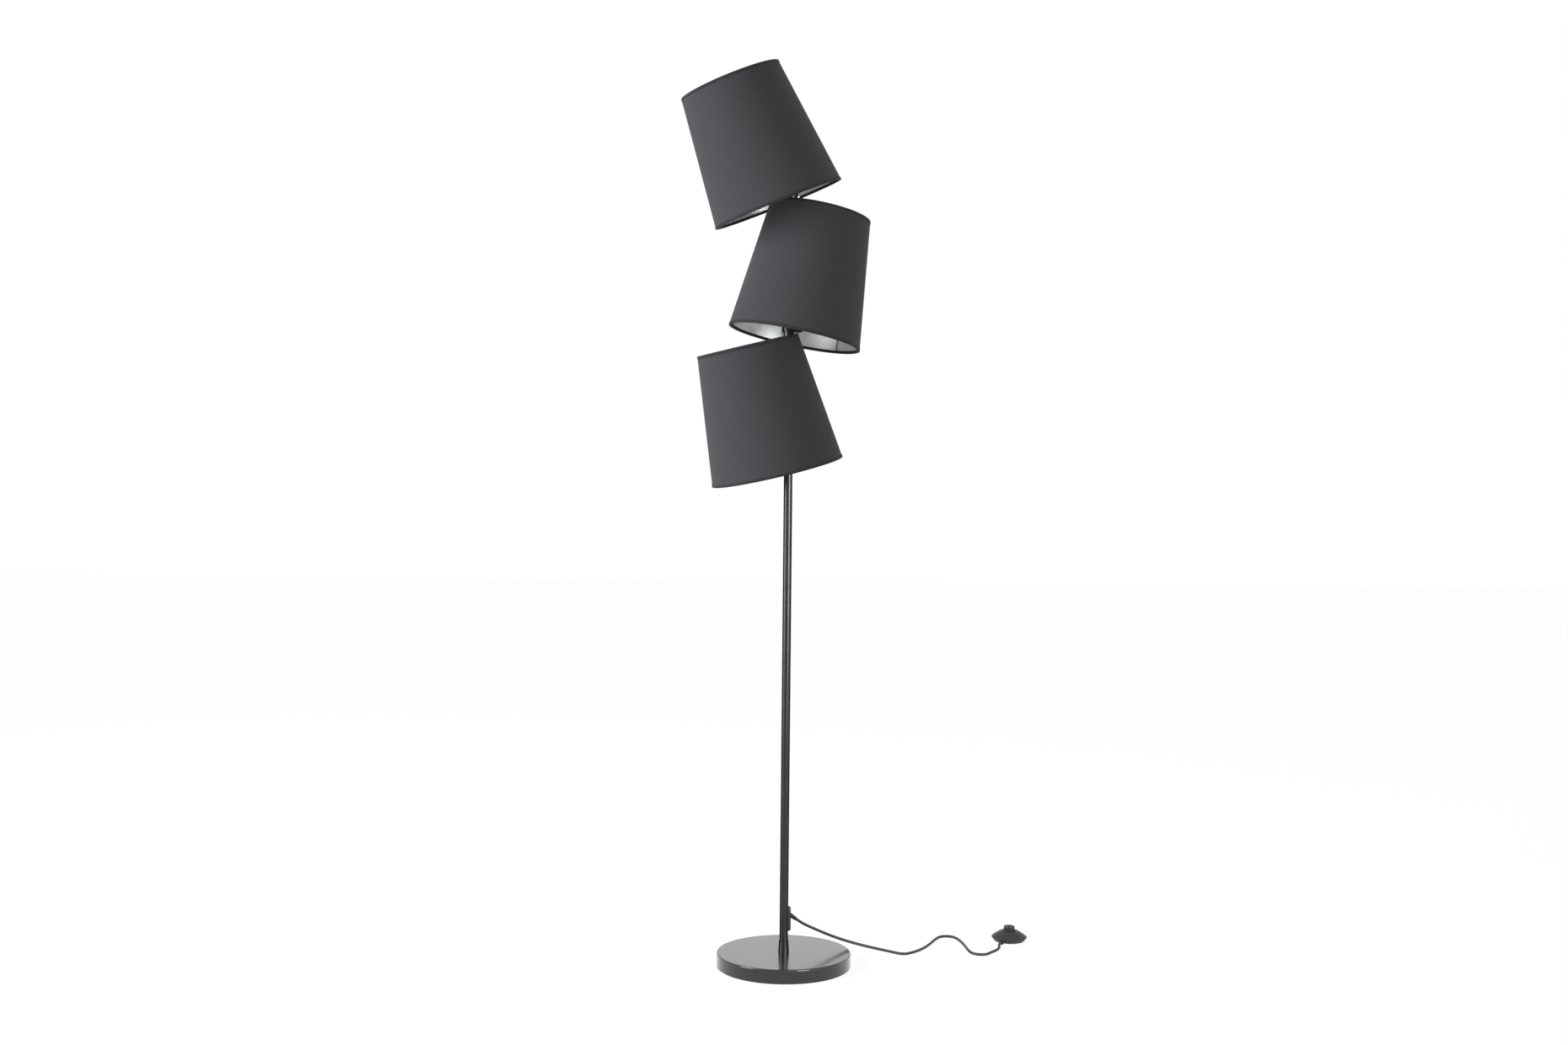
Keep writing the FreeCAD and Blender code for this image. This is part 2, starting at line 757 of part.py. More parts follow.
def collar_screws(light):
    level = -collar_half_height - skirt_height / 2
    tip = pole_radius + screw_tip_gap
    clamp = rod(clamp_screw_radius, Vector(-tip, 0, level), Vector(-skirt_radius - 1, 0, level))
    head = rod(clamp_head_radius, Vector(-skirt_radius, 0, level),
               Vector(-skirt_radius - clamp_head_thickness, 0, level))
    screws = [clamp.fuse(head).removeSplitter()]
    for angle in set_screw_angles(light):
        shank = rod(set_screw_radius, polar(tip, angle, -set_screw_drop),
                    polar(collar_radius + 1, angle, -set_screw_drop))
        cap = rod(set_screw_head_radius, polar(collar_radius, angle, -set_screw_drop),
                  polar(collar_radius + set_screw_head_thickness, angle, -set_screw_drop))
        screws.append(shank.fuse(cap).removeSplitter())
    return screws


def tilt_knob(light):
    slot_half = tongue_thickness / 2 + tongue_gap
    knob_start = slot_half + ear_thickness + knob_gap
    knob_end = knob_start + knob_thickness
    stud = across(light, pivot_radius, -slot_half - pivot_blind_depth + 0.5, knob_start + 1)
    head = across(light, knob_radius, knob_start, knob_end)
    out = pivot_out(light)
    low, high = ear_span(light, knob_start - 1, knob_end + 1)
    for k in range(knob_flutes):
        turn = math.radians(360 / knob_flutes * k)
        x = out + knob_radius * math.cos(turn)
        z = knob_radius * math.sin(turn)
        head = head.cut(rod(knob_flute_radius, Vector(x, low, z), Vector(x, high, z)))
    return stud.fuse(head).removeSplitter()


# ---- the three lights ------------------------------------------------------------------------------------
for level, light in lights.items():
    lean = Rotation(up, light["azimuth"])
    bottom_centre = lean.multVec(Vector(light["out"], light["side"], light["up"]))
    tilted = lean.multiply(Rotation(Vector(0, 1, 0), light["tilt"]))
    at_rim = Placement(bottom_centre, tilted)
    at_pivot = Placement(bottom_centre + tilted.multVec(up * light["pivot"]), tilted)
    at_collar = Placement(up * pivot_height(light), lean)

    axis_out = pivot_out(light) + carrier_start * math.sin(math.radians(light["tilt"]))
    pole_angle = math.degrees(math.atan2(-light["side"], -axis_out))

    pieces = {
        "collar": (at_collar, [collar(light)]),
        "collar_screws": (at_collar, collar_screws(light)),
        "tilt_knob": (at_collar, [tilt_knob(light)]),
        "holder_arm": (at_pivot, [holder_arm()]),
        "holder_cup": (at_pivot, [holder_cup()]),
        "holder_core": (at_pivot, [holder_core()]),
        "lamp_contacts": (at_pivot, lamp_contacts()),
        "fixing_ring": (at_pivot, [fixing_ring()]),
        "carrier": (at_pivot, carrier(pole_angle, -light["pivot"])),
        "hoops": (at_rim, [hoop(hoop_rise), hoop(shade_height - hoop_rise)]),
        "hems": (at_rim, [hem(True), hem(False)]),
        "fabric": (at_rim, [cone_wall(fabric_outside, fabric_inside, rim_gap, shade_height - rim_gap)]),
        "liner": (at_rim, [cone_wall(liner_outside, liner_inside, rim_gap, shade_height - rim_gap)]),
    }
    for piece, (place, shapes) in pieces.items():
        keep(level + "_" + piece, *[moved(shape, place) for shape in shapes])

os.makedirs("parts", exist_ok=True)
for name, shape in nodes.items():
    shape.exportStep("parts/" + name + ".step")
print(len(nodes), "nodes")
for name, shape in nodes.items():
    if not shape.isValid() or any(solid.Volume <= 0 for solid in shape.Solids):
        print("not sound:", name)
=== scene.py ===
import math

import bmesh
import bpy
from mathutils import Matrix, Vector


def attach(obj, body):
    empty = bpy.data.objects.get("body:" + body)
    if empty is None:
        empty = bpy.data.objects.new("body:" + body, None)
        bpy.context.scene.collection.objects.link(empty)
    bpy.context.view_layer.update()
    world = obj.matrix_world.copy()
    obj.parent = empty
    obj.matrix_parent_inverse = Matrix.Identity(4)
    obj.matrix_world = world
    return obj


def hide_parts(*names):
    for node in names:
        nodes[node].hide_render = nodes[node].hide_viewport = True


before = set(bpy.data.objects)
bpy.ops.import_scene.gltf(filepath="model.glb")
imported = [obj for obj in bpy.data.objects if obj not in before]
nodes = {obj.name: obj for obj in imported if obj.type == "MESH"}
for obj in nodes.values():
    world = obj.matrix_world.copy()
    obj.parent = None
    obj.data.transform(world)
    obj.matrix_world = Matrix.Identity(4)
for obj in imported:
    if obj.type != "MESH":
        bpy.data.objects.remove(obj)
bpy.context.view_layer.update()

scene = bpy.context.scene
mm = 0.001


cameraView = {
    "place": (-0.00685, -3.2, 0.88046),
    "lookDown": 0.967,       # degrees
    "roll": 0.55,
    "lens": 39.6,            # on a 36 mm wide sensor
}


def makeCamera(view):
    data = bpy.data.cameras.new("camera")
    data.lens = view["lens"]
    data.sensor_width = 36
    data.clip_end = 60
    camera = bpy.data.objects.new("camera", data)
    turn = Matrix.Rotation(math.radians(90 - view["lookDown"]), 4, "X")
    roll = Matrix.Rotation(math.radians(view["roll"]), 4, "Z")
    camera.matrix_world = Matrix.Translation(view["place"]) @ turn @ roll
    scene.collection.objects.link(camera)
    scene.camera = camera


makeCamera(cameraView)
print("camera placed")


class Signal:  # a node's output that can be added, multiplied and so on
    def __init__(self, board, socket):
        self.board = board
        self.socket = socket

    def combine(self, operation, first, second=None):
        values = {0: first} if second is None else {0: first, 1: second}
        return self.board.add("ShaderNodeMath", {"operation": operation}, values)

    def __add__(self, other):
        return self.combine("ADD", self, other)

    def __radd__(self, other):
        return self.combine("ADD", other, self)

    def __rsub__(self, other):
        return self.combine("SUBTRACT", other, self)

    def __mul__(self, other):
        return self.combine("MULTIPLY", self, other)

    def sine(self):
        return self.combine("SINE", self)

    def most(self, other):
        return self.combine("MAXIMUM", self, other)

    def between(self, low, high):  # 0 at low, 1 at high, smooth
        return self.board.add("ShaderNodeMapRange", {"interpolation_type": "SMOOTHSTEP"},
                              {"Value": self, "From Min": low, "From Max": high})


class Board:  # one material and its nodes
    def __init__(self, name):
        self.material = bpy.data.materials.new(name)
        self.material.use_nodes = True
        self.tree = self.material.node_tree
        self.surface = self.tree.nodes["Principled BSDF"]

    def add(self, kind, settings=None, inputs=None, output=0):
        node = self.tree.nodes.new(kind)
        for key, value in (settings or {}).items():
            setattr(node, key, value)
        for key, value in (inputs or {}).items():
            self.put(node.inputs[key], value)
        return Signal(self, node.outputs[output])

    def put(self, socket, value):
        if isinstance(value, Signal):
            self.tree.links.new(value.socket, socket)
        elif isinstance(value, (tuple, list)) and socket.type == "RGBA":
            socket.default_value = (*value, 1)
        else:
            socket.default_value = value

    def place(self, kind="Object"):
        return self.add("ShaderNodeTexCoord", {}, {}, kind)

    def scaled(self, vector, scale):
        return self.add("ShaderNodeVectorMath", {"operation": "MULTIPLY"}, {0: vector, 1: scale})

    def part(self, vector, axis):
        return self.add("ShaderNodeSeparateXYZ", {}, {"Vector": vector}, axis)

    def noise(self, vector, scale, detail):
        return self.add("ShaderNodeTexNoise", {}, {"Vector": vector, "Scale": scale, "Detail": detail,
                                                   "Roughness": 0.5})

    def blend(self, factor, first, second):
        return self.add("ShaderNodeMix", {"data_type": "RGBA"}, {0: factor, 6: first, 7: second}, 2)

    def finish(self, **values):
        names = {"colour": "Base Color", "roughness": "Roughness", "metallic": "Metallic",
                 "coat": "Coat Weight", "coatRoughness": "Coat Roughness", "edge": "Specular Tint",
                 "sheen": "Sheen Weight", "sheenRoughness": "Sheen Roughness",
                 "specular": "Specular IOR Level", "normal": "Normal"}
        for key, value in values.items():
            self.put(self.surface.inputs[names[key]], value)
        return self.material

    def bump(self, height, distance, strength):
        return self.add("ShaderNodeBump", {}, {"Height": height, "Distance": distance,
                                               "Strength": strength})


clothLook = {
    "thread": (0.064, 0.064, 0.071),
    "hollow": (0.046, 0.046, 0.052),
    "hemThread": (0.034, 0.034, 0.038),
    "hemHollow": (0.024, 0.024, 0.028),
    "pitch": 0.55 * mm,      # from one thread to the next
    "streaks": (60, 1400),   # slow along a thread, fast across it
    "clouds": 22.0,
    "weaveShare": 0.45,
    "slubShare": 0.4,
    "cloudShare": 0.15,
    "slubRange": (0.35, 0.65),
    "bumpDepth": 0.25 * mm,
    "roughness": 0.9,
    "threadShine": 0.08,
    "specular": 0.25,
    "sheen": 0.06,
    "sheenRoughness": 0.5,
}


def clothMaterial(name, thread, hollow):
    look = clothLook
    board = Board(name)
    flat = board.place("UV")
    along = board.part(flat, "X")
    upward = board.part(flat, "Y")
    turn = 2 * math.pi / look["pitch"]
    warp = (along * turn).sine()
    weft = (upward * turn).sine()
    weave = (warp * weft) * 0.5 + 0.5
    slow, fast = look["streaks"]
    acrossStreaks = board.noise(board.scaled(flat, (slow, fast, 1)), 1.0, 2.0)
    uprightStreaks = board.noise(board.scaled(flat, (fast, slow, 1)), 1.0, 2.0)
    slubs = (acrossStreaks + uprightStreaks) * 0.5
    cloud = board.noise(flat, look["clouds"], 2.0)
    slubTone = slubs.between(*look["slubRange"])
    tone = weave * look["weaveShare"] + slubTone * look["slubShare"] + cloud * look["cloudShare"]
    return board.finish(colour=board.blend(tone, hollow, thread),
                        roughness=look["roughness"] - weave * look["threadShine"],
                        specular=look["specular"],
                        normal=board.bump(weave * 0.6 + slubs, look["bumpDepth"], 0.5),
                        sheen=look["sheen"], sheenRoughness=look["sheenRoughness"])


toneRange = (0.3, 0.7)   # the part of a noise over which a colour changes
liningLook = {
    "dim": (0.70, 0.72, 0.73),
    "bright": (0.92, 0.93, 0.94),
    "patches": 14.0,
    "grain": 2600.0,
    "metallic": 0.45,
    "roughness": 0.32,
    "grainRoughness": 0.12,
    "waviness": 6.0,         # how far the patches outdo the grain in the bump
    "bumpDepth": 0.3 * mm,
}


def liningMaterial(look):
    board = Board("liningSilverGrey")
    flat = board.place("UV")
    patches = board.noise(flat, look["patches"], 2.0)
    grain = board.noise(flat, look["grain"], 2.0)
    colour = board.blend(patches.between(*toneRange), look["dim"], look["bright"])
    return board.finish(colour=colour, metallic=look["metallic"],
                        roughness=look["roughness"] + grain * look["grainRoughness"],
                        normal=board.bump(patches * look["waviness"] + grain, look["bumpDepth"], 0.5))


def coatedMaterial(name, colour, shade, roughness, grainSize, grainDepth, **more):  # powder coat, paint
    board = Board(name)
    where = board.place()
    grain = board.noise(where, 1 / grainSize, 2.0)
    cloud = board.noise(where, 18.0, 3.0)
    tone = board.blend(cloud.between(*toneRange), colour, shade)
    return board.finish(colour=tone, roughness=cloud * 0.06 + roughness,
                        normal=board.bump(grain, grainDepth, 0.5), **more)


def metalMaterial(name, colour, shade, roughness):
    board = Board(name)
    marks = board.noise(board.place(), 420.0, 3.0)
    tone = board.blend(marks.between(*toneRange), colour, shade)
    return board.finish(colour=tone, metallic=1.0, roughness=marks * 0.15 + roughness,
                        normal=board.bump(marks, 0.02 * mm, 0.4))


def mouldedMaterial(name, colour, shade, roughness, grainSize=0.5 * mm):
    board = Board(name)
    where = board.place()
    grain = board.noise(where, 1 / grainSize, 2.0)
    cloud = board.noise(where, 40.0, 2.0)
    tone = board.blend(cloud.between(*toneRange), colour, shade)
    return board.finish(colour=tone, roughness=grain * 0.1 + roughness,
                        normal=board.bump(grain, 0.04 * mm, 0.5))


def castMaterial():
    board = Board("castIron")
    where = board.place()
    lumps = board.noise(where, 380.0, 4.0)
    tone = board.blend(lumps.between(0.35, 0.7), (0.05, 0.05, 0.052), (0.13, 0.125, 0.12))
    return board.finish(colour=tone, metallic=0.6, roughness=lumps * 0.3 + 0.55,
                        normal=board.bump(lumps, 0.3 * mm, 0.8))


finishes = {
    "cloth": clothMaterial("charcoalCloth", clothLook["thread"], clothLook["hollow"]),
    "hem": clothMaterial("hemCloth", clothLook["hemThread"], clothLook["hemHollow"]),
    "lining": liningMaterial(liningLook),
    "pole": coatedMaterial("satinBlackCoat", (0.040, 0.040, 0.042), (0.048, 0.048, 0.050), 0.24,
                           0.9 * mm, 0.015 * mm, metallic=1.0, edge=(0.12, 0.12, 0.12)),
    "base": coatedMaterial("polishedBlackBase", (0.004, 0.004, 0.005), (0.007, 0.007, 0.008), 0.22,
                           0.6 * mm, 0.006 * mm, coat=1.0, coatRoughness=0.14, specular=0.22),
    "cast": castMaterial(),
    "steel": metalMaterial("zincSteel", (0.60, 0.60, 0.62), (0.48, 0.48, 0.50), 0.28),
    "brass": metalMaterial("contactBrass", (0.76, 0.58, 0.30), (0.66, 0.48, 0.22), 0.25),
    "pad": mouldedMaterial("blackPad", (0.030, 0.030, 0.030), (0.040, 0.040, 0.040), 0.75, 0.9 * mm),
    "plastic": mouldedMaterial("mouldedBlack", (0.012, 0.012, 0.014), (0.018, 0.018, 0.020), 0.42),
    "knob": mouldedMaterial("knobBlack", (0.010, 0.010, 0.011), (0.015, 0.015, 0.016), 0.26),
    "sheath": mouldedMaterial("cordSheath", (0.020, 0.020, 0.022), (0.028, 0.028, 0.030), 0.45,
                              0.7 * mm),
    "lead": mouldedMaterial("leadSleeve", (0.12, 0.06, 0.035), (0.16, 0.08, 0.05), 0.4),
    "wire": coatedMaterial("whiteWire", (0.68, 0.68, 0.66), (0.62, 0.62, 0.60), 0.4,
                           0.8 * mm, 0.02 * mm),
}
print("materials made:", len(finishes))


cordRun = {
    "diameter": 5.2 * mm,
    "length": 0.661,
    "points": [              # in millimetres
        (23.44, 8.30, 85.42), (34.11, 12.08, 77.19), (55.0, 19.5, 66.0), (90.6, 32.1, 48.3),
        (125.8, 44.6, 33.9), (161.5, 57.2, 21.9), (198.3, 70.2, 11.0), (228.5, 76.7, 2.7),
        (249.8, 93.9, 2.7), (269.7, 120.4, 2.7), (285.3, 153.5, 2.7), (299.0, 190.5, 2.7),
        (309.7, 211.8, 2.7), (323.1, 217.6, 2.7), (336.5, 212.6, 2.7), (344.7, 195.5, 2.7),
        (350.7, 164.3, 2.7), (354.2, 135.8, 2.7), (357.0, 104.4, 2.7), (363.6, 87.0, 2.7),
        (376.7, 80.6, 2.7), (390.2, 84.9, 2.7), (398.5, 98.6, 2.7), (411.0, 113.5, 2.7),
        (419.4, 132.6, 2.7), (419.54, 147.97, 6.0), (426.11, 160.33, 6.0),
    ],
}


def makeCord(run):
    curve = bpy.data.curves.new("cord_line", "CURVE")
    curve.dimensions = "3D"
    spline = curve.splines.new("NURBS")
    spline.points.add(len(run["points"]) - 1)
    for point, place in zip(spline.points, run["points"]):
        point.co = (*(Vector(place) * mm), 1)
    spline.order_u = 3
    spline.use_endpoint_u = True
    curve.resolution_u = 14
    curve.bevel_depth = run["diameter"] / 2
    curve.bevel_resolution = 5
    curve.use_fill_caps = True
    cord = bpy.data.objects.new("mains_cord", curve)
    scene.collection.objects.link(cord)
    curve.materials.append(finishes["sheath"])
    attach(cord, "stand")
    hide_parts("cord")


makeCord(cordRun)
print("cord laid")


def newMesh(name, bm, place, body, finish):
    bmesh.ops.recalc_face_normals(bm, faces=bm.faces)
    bmesh.ops.transform(bm, matrix=place, verts=bm.verts)
    for face in bm.faces:
        face.smooth = True
    mesh = bpy.data.meshes.new(name)
    bm.to_mesh(mesh)
    bm.free()
    mesh.materials.append(finish)
    piece = bpy.data.objects.new(name, mesh)
    scene.collection.objects.link(piece)
    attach(piece, body)
    return piece


def spun(outline, steps, sweep=360.0, start=0.0):  # a closed (radius, height) outline turned round Z
    bm = bmesh.new()
    turn = Matrix.Rotation(math.radians(start), 3, "Z")
    ring = [bm.verts.new(turn @ Vector((r, 0, z))) for r, z in outline]
    sides = [bm.edges.new((a, b)) for a, b in zip(ring, ring[1:] + ring[:1])]
    if sweep >= 360:
        bmesh.ops.spin(bm, geom=ring + sides, cent=(0, 0, 0), axis=(0, 0, 1), angle=math.tau,
                       steps=steps, use_merge=True)
    else:
        cap = bm.faces.new(ring)
        bmesh.ops.spin(bm, geom=[cap], cent=(0, 0, 0), axis=(0, 0, 1), angle=math.radians(sweep),
                       steps=steps)
    bmesh.ops.remove_doubles(bm, verts=bm.verts, dist=1e-7)
    return bm


def wrapUv(bm, radius):  # metres round the drum and up it, with no jump at the back
    layer = bm.loops.layers.uv.new("wrap")
    for face in bm.faces:
        centre = face.calc_center_median()
        middle = math.atan2(centre.y, centre.x)
        for loop in face.loops:
            x, y, z = loop.vert.co
            step = math.atan2(y, x) - middle
            step -= math.tau * round(step / math.tau)
            loop[layer].uv = ((middle + step) * radius, z)


def sharpen(piece, degrees=35):
    piece.data.set_sharp_from_angle(angle=math.radians(degrees))


lights = {
    "lower": {"azimuth": 201.9, "tilt": 14.8, "out": 13.4 * mm, "up": 920.4 * mm, "side": -20.5 * mm},
    "middle": {"azimuth": 12.9, "tilt": 11.4, "out": 13.8 * mm, "up": 1169.8 * mm, "side": 20.5 * mm},
    "upper": {"azimuth": 196.1, "tilt": 23.1, "out": 23.5 * mm, "up": 1413.3 * mm, "side": 0.0},
}
shade = {
    "bottomRadius": 125.0 * mm,
    "topRadius": 96.0 * mm,
    "height": 242.0 * mm,
    "steps": 192,
    "rows": 24,
    "hemHeight": 5.0 * mm,
    "hemThickness": 0.5 * mm,
    "hemDepth": 5.45 * mm,     # from the outline in to the hem's inner side
    "clothFrom": 0.6 * mm,     # insets of the layers from the outline
    "clothTo": 1.5 * mm,
    "liningFrom": 1.75 * mm,
    "liningTo": 2.35 * mm,
    "wallGap": 0.7 * mm,       # from the rims to the cloth and the lining
    "seamWidth": 11.0 * mm,
    "seamRise": 0.45 * mm,
    "seamBite": 0.02 * mm,
    "seamGap": 0.3 * mm,       # from the hems
}


def drumRadius(height):
    part = height / shade["height"]
    return shade["bottomRadius"] + (shade["topRadius"] - shade["bottomRadius"]) * part


def drumPlace(light):
    turn = Matrix.Rotation(math.radians(light["azimuth"]), 4, "Z")
    rim = Matrix.Translation((light["out"], light["side"], light["up"]))
    return turn @ rim @ Matrix.Rotation(math.radians(light["tilt"]), 4, "Y")


def drumWall(outer, inner):  # a wall with rows of faces up it
    low, high, rows = shade["wallGap"], shade["height"] - shade["wallGap"], shade["rows"]
    heights = [low + (high - low) * k / rows for k in range(rows + 1)]
    outline = [(drumRadius(z) - outer, z) for z in heights]
    outline += [(drumRadius(z) - inner, z) for z in reversed(heights)]
    return spun(outline, shade["steps"])


def hemRing(bottom):
    edge = 0 if bottom else shade["height"]
    way = 1 if bottom else -1
    thick, deep, tall = shade["hemThickness"], shade["hemDepth"], shade["hemHeight"]

    def at(inset, rise):
        z = edge + way * rise
        return (drumRadius(z) - inset, z)

    outside = [at(0.12 * mm, tall), at(0, tall - 0.25 * mm), at(0, 0.9 * mm), at(0.25 * mm, 0.3 * mm),
               at(0.9 * mm, 0.05 * mm), at(2.7 * mm, 0), at(deep - 0.9 * mm, 0.05 * mm),
               at(deep - 0.25 * mm, 0.3 * mm), at(deep, 0.9 * mm), at(deep, tall - 0.3 * mm)]
    inside = [at(deep - thick, tall), at(deep - thick, 1.1 * mm), at(deep - 1.2 * mm, 0.65 * mm),
              at(2.7 * mm, thick + 0.05 * mm), at(1.2 * mm, 0.65 * mm), at(thick, 1.1 * mm),
              at(thick, tall)]
    return spun(outside + inside, shade["steps"])


def makeShade(level, light):
    place = drumPlace(light)
    body = level + "_shade"
    mean = (shade["bottomRadius"] + shade["topRadius"]) / 2
    wall = drumWall(shade["clothFrom"], shade["clothTo"])
    wrapUv(wall, mean)
    cloth = newMesh(level + "_shade_cloth", wall, place, body, finishes["cloth"])
    sharpen(cloth)
    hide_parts(level + "_fabric")

    wall = drumWall(shade["liningFrom"], shade["liningTo"])
    wrapUv(wall, mean)
    lining = newMesh(level + "_shade_lining", wall, place, body, finishes["lining"])
    sharpen(lining)
    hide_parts(level + "_liner")

    bands = []
    for name, bottom in (("bottom", True), ("top", False)):
        ring = hemRing(bottom)
        wrapUv(ring, mean)
        band = newMesh(level + "_" + name + "_hem", ring, place, body, finishes["hem"])
        sharpen(band, 60)
        bands.append(band)
    for band in bands:
        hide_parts(level + "_hems")

    # the overlap glued down the cloth, on the side away from the camera
    half = math.degrees(shade["seamWidth"] / mean) / 2
    back = 90 - light["azimuth"]
    low = shade["hemHeight"] + shade["seamGap"]
    high = shade["height"] - low
    under = shade["seamBite"] - shade["clothFrom"]
    over = shade["seamRise"] - shade["clothFrom"]
    corners = [(under, low), (over, low), (over, high), (under, high)]
    flap = spun([(drumRadius(z) + offset, z) for offset, z in corners], 8, half * 2, back - half)
    wrapUv(flap, mean)
    seam = newMesh(level + "_seam_flap", flap, place, body, finishes["cloth"])
    sharpen(seam)


for level, light in lights.items():
    makeShade(level, light)
print("shades made")


trim = {
    "jointHeight": 779.0 * mm,         # where the pole's two sections meet
    "jointHalf": 0.35 * mm,
    "jointRise": 0.12 * mm,
    "poleRadius": 8.0 * mm,
    "guideHeight": 96.0 * mm,          # the root of the sleeve on the cord guide
    "guideOut": 10.3 * mm,
    "guideAzimuth": math.radians(19.5),
    "guideSlope": math.radians(36.0),
    "sleeveRoot": 4.2 * mm,
    "sleeveTip": 3.1 * mm,
    "sleeveLength": 18.0 * mm,
    "ribs": 5,
    "ribStart": 5.0 * mm,
    "ribStep": 2.4 * mm,
    "ribHalf": 0.6 * mm,
    "ribRise": 0.45 * mm,
    "switchAt": (446.3 * mm, 198.3 * mm, 0.0),
    "buttonTop": 29.0 * mm,
    "ridges": (2.2 * mm, 4.4 * mm, 6.6 * mm, 8.4 * mm),   # inner radii of the rings on the button
    "ridgeWidth": 0.7 * mm,
    "ridgeRise": 0.35 * mm,
    "bite": 0.2 * mm,                  # how deep a ring sits in what carries it
    "ribBite": 0.3 * mm,
}


def ringOutline(low, high, inner, outer, rise):  # a ring with a rounded outside
    return [(inner, low), (outer, low), (outer + rise, (low + high) / 2), (outer, high), (inner, high)]


def makeJointRing():
    middle, half, radius = trim["jointHeight"], trim["jointHalf"], trim["poleRadius"]
    ring = spun(ringOutline(middle - half, middle + half, radius - trim["bite"], radius,
                            trim["jointRise"]), 96)
    newMesh("pole_joint_ring", ring, Matrix.Identity(4), "stand", finishes["plastic"])


def makeSleeveRibs():
    level = Vector((math.cos(trim["guideAzimuth"]), math.sin(trim["guideAzimuth"]), 0))
    down = Vector((0, 0, -1))
    root = level * trim["guideOut"] - down * trim["guideHeight"]
    way = level * math.cos(trim["guideSlope"]) + down * math.sin(trim["guideSlope"])
    place = Matrix.Translation(root) @ way.to_track_quat("Z", "Y").to_matrix().to_4x4()
    for k in range(trim["ribs"]):
        rise = trim["ribStart"] + trim["ribStep"] * k
        part = rise / trim["sleeveLength"]
        cone = trim["sleeveRoot"] + (trim["sleeveTip"] - trim["sleeveRoot"]) * part
        rib = spun(ringOutline(rise - trim["ribHalf"], rise + trim["ribHalf"], cone - trim["ribBite"],
                               cone, trim["ribRise"]), 48)
        newMesh("sleeve_rib_" + str(k + 1), rib, place, "stand", finishes["plastic"])


def makeButtonRidges():
    centre = Matrix.Translation(trim["switchAt"])
    top = trim["buttonTop"]
    for k, inner in enumerate(trim["ridges"]):
        outer = inner + trim["ridgeWidth"]
        outline = [(inner, top - trim["bite"]), (outer, top - trim["bite"]), (outer, top),
                   ((inner + outer) / 2, top + trim["ridgeRise"]), (inner, top)]
        ridge = newMesh("button_ridge_" + str(k + 1), spun(outline, 64), centre, "button",
                        finishes["knob"])
        sharpen(ridge, 50)


makeJointRing()
makeSleeveRibs()
makeButtonRidges()
print("trim made")


nodeFinishes = {
    "base_cover": "base", "base_weight": "cast", "base_pad": "pad", "base_washer": "steel",
    "base_nut": "steel", "base_stud": "steel", "pole_foot": "pole", "pole_lower": "pole",
    "pole_upper": "pole", "pole_coupler": "steel", "pole_cap": "plastic", "inner_leads": "lead",
    "cord_guide": "plastic", "switch_cover": "plastic", "switch_plate": "plastic",
    "switch_button": "knob", "switch_spring": "steel", "switch_contacts": "brass",
    "switch_screws": "steel",
}
lightFinishes = {
    "collar": "pole", "collar_screws": "steel", "tilt_knob": "knob", "holder_arm": "pole",
    "holder_cup": "plastic", "holder_core": "plastic", "lamp_contacts": "brass",
    "fixing_ring": "plastic", "carrier": "wire", "hoops": "wire",
}
for level in lights:
    for piece, finish in lightFinishes.items():
        nodeFinishes[level + "_" + piece] = finish
for name, finish in nodeFinishes.items():
    node = nodes[name]
    node.data.materials.clear()
    node.data.materials.append(finishes[finish])
print("finishes set on", len(nodeFinishes), "nodes")


studio = {
    "floorHalf": 14,
    "floorDrop": 0.4 * mm,
    "floorColour": (0.86, 0.86, 0.86),
    "floorShare": 0.78,         # how much of the floor is plain white to the camera, under the shadow
    "floorWhite": 1.18,
    "ambient": 0.30,
    "lamps": {
        "leftWindow": {"place": (-2.9, -1.25, 1.55), "aim": (0, 0, 1.05), "size": (1.2, 2.6),
                       "watts": 105, "onlyShine": False},
        "frontFill": {"place": (0.4, -3.8, 2.6), "aim": (0, 0, 0.9), "size": (2.0, 2.0),
                      "watts": 9, "onlyShine": False},
        "rightStrip": {"place": (1.75, -1.9, 1.25), "aim": (0, 0, 1.25), "size": (0.9, 1.7),
                       "watts": 80, "onlyShine": True},
    },
}


def makeLamp(name, lamp):
    data = bpy.data.lights.new(name, "AREA")
    data.shape = "RECTANGLE"
    data.size, data.size_y = lamp["size"]
    data.energy = lamp["watts"]
    light = bpy.data.objects.new(name, data)
    way = Vector(lamp["aim"]) - Vector(lamp["place"])
    turn = way.to_track_quat("-Z", "Y").to_matrix().to_4x4()
    light.matrix_world = Matrix.Translation(lamp["place"]) @ turn
    light.visible_diffuse = not lamp["onlyShine"]
    scene.collection.objects.link(light)


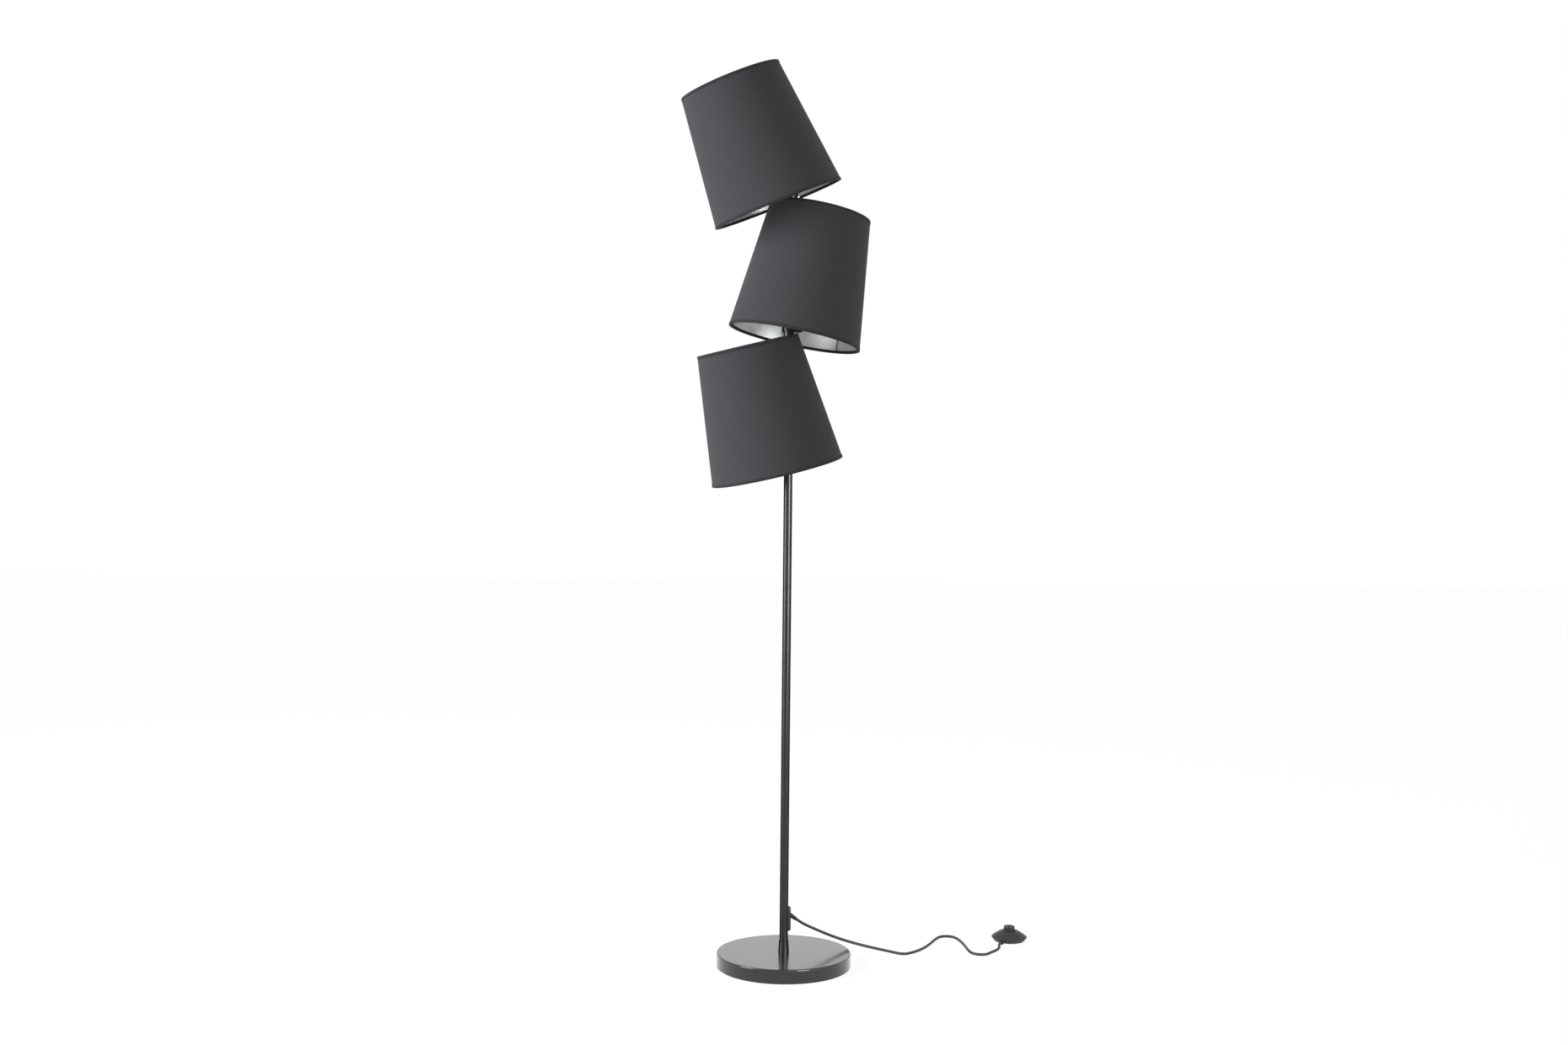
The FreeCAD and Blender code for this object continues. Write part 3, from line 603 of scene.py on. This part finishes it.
def makeFloor():
    bm = bmesh.new()
    bmesh.ops.create_grid(bm, x_segments=2, y_segments=2, size=studio["floorHalf"])
    mesh = bpy.data.meshes.new("floor")
    bm.to_mesh(mesh)
    bm.free()
    floor = bpy.data.objects.new("floor", mesh)
    floor.location.z = -studio["floorDrop"]
    scene.collection.objects.link(floor)
    board = Board("paleFloor")
    board.finish(colour=studio["floorColour"], roughness=0.9, specular=0.1)
    ray = board.add("ShaderNodeLightPath", {}, {}, "Is Camera Ray")
    shine = board.add("ShaderNodeLightPath", {}, {}, "Is Glossy Ray")
    glow = board.add("ShaderNodeEmission", {}, {"Color": (1, 1, 1), "Strength": studio["floorWhite"]})
    mix = board.tree.nodes.new("ShaderNodeMixShader")
    board.put(mix.inputs[0], ray.most(shine) * studio["floorShare"])
    board.tree.links.new(board.surface.outputs[0], mix.inputs[1])
    board.tree.links.new(glow.socket, mix.inputs[2])
    board.tree.links.new(mix.outputs[0], board.tree.nodes["Material Output"].inputs["Surface"])
    mesh.materials.append(board.material)


def makeSky():  # white to the camera and in reflections, dimmer as a light
    world = bpy.data.worlds.new("studio")
    scene.world = world
    world.use_nodes = True
    tree = world.node_tree
    tree.nodes.clear()
    rays = tree.nodes.new("ShaderNodeLightPath")
    seen = tree.nodes.new("ShaderNodeMath")
    seen.operation = "MAXIMUM"
    tree.links.new(rays.outputs["Is Camera Ray"], seen.inputs[0])
    through = tree.nodes.new("ShaderNodeMath")
    through.operation = "MAXIMUM"
    tree.links.new(rays.outputs["Is Glossy Ray"], through.inputs[0])
    tree.links.new(rays.outputs["Is Transmission Ray"], through.inputs[1])
    tree.links.new(through.outputs[0], seen.inputs[1])
    level = tree.nodes.new("ShaderNodeMapRange")
    level.inputs["To Min"].default_value = studio["ambient"]
    level.inputs["To Max"].default_value = 1.0
    tree.links.new(seen.outputs[0], level.inputs["Value"])
    sky = tree.nodes.new("ShaderNodeBackground")
    sky.inputs["Color"].default_value = (1, 1, 1, 1)
    tree.links.new(level.outputs[0], sky.inputs["Strength"])
    out = tree.nodes.new("ShaderNodeOutputWorld")
    tree.links.new(sky.outputs[0], out.inputs["Surface"])


makeFloor()
makeSky()
for name, lamp in studio["lamps"].items():
    makeLamp(name, lamp)
scene.view_settings.view_transform = "Standard"
print("studio lit")
